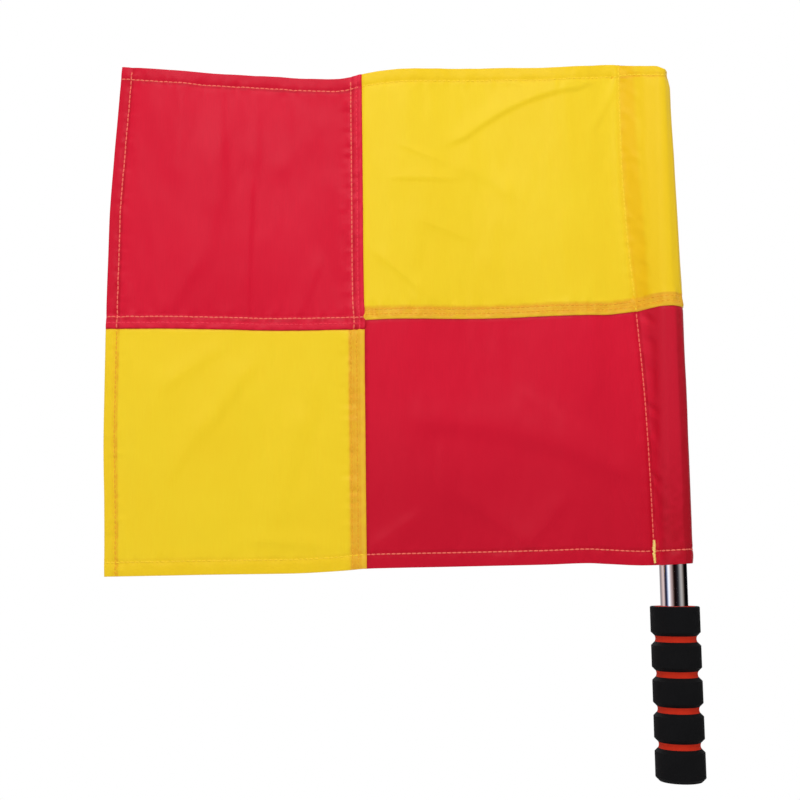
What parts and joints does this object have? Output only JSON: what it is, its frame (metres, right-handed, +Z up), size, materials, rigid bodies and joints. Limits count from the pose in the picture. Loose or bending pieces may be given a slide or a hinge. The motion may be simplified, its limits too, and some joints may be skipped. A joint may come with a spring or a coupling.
{
  "type": "signal flag",
  "caption": "Hand-held signal flag: a quartered cloth flag whose sewn sleeve turns freely on a steel tube, with a grooved foam grip.",
  "frame": {"origin": "on the tube's axis, half way up the foam grip", "axes": "+Z up along the tube, towards the flag; the flag flies towards -X; its two faces look along -Y and +Y"},
  "size_m": [0.3875, 0.031, 0.4734],
  "materials": {
    "steel": "polished stainless tube",
    "plug": "moulded black plastic",
    "orange_foam": "matt closed-cell foam",
    "black_foam": "matt closed-cell foam",
    "red_cloth": "thin plain-woven polyester with a soft sheen",
    "yellow_cloth": "thin plain-woven polyester with a soft sheen"
  },
  "bodies": {
    "pole": {"steel_tube": "steel", "top_plug": "plug", "bottom_plug": "plug", "grip_core": "orange_foam", "grip_ring_1": "black_foam", "grip_ring_2": "black_foam", "grip_ring_3": "black_foam", "grip_ring_4": "black_foam", "grip_ring_5": "black_foam"},
    "flag": {"fly_top_panel": "red_cloth", "fly_bottom_panel": "yellow_cloth", "hoist_top_panel": "yellow_cloth", "hoist_bottom_panel": "red_cloth"}
  },
  "joints": [
    {"name": "flag_spin", "type": "hinge", "parent": "pole", "child": "flag", "pos_m": [0, 0, 0.24], "axis": [0, 0, 1], "continuous": true}
  ]
}
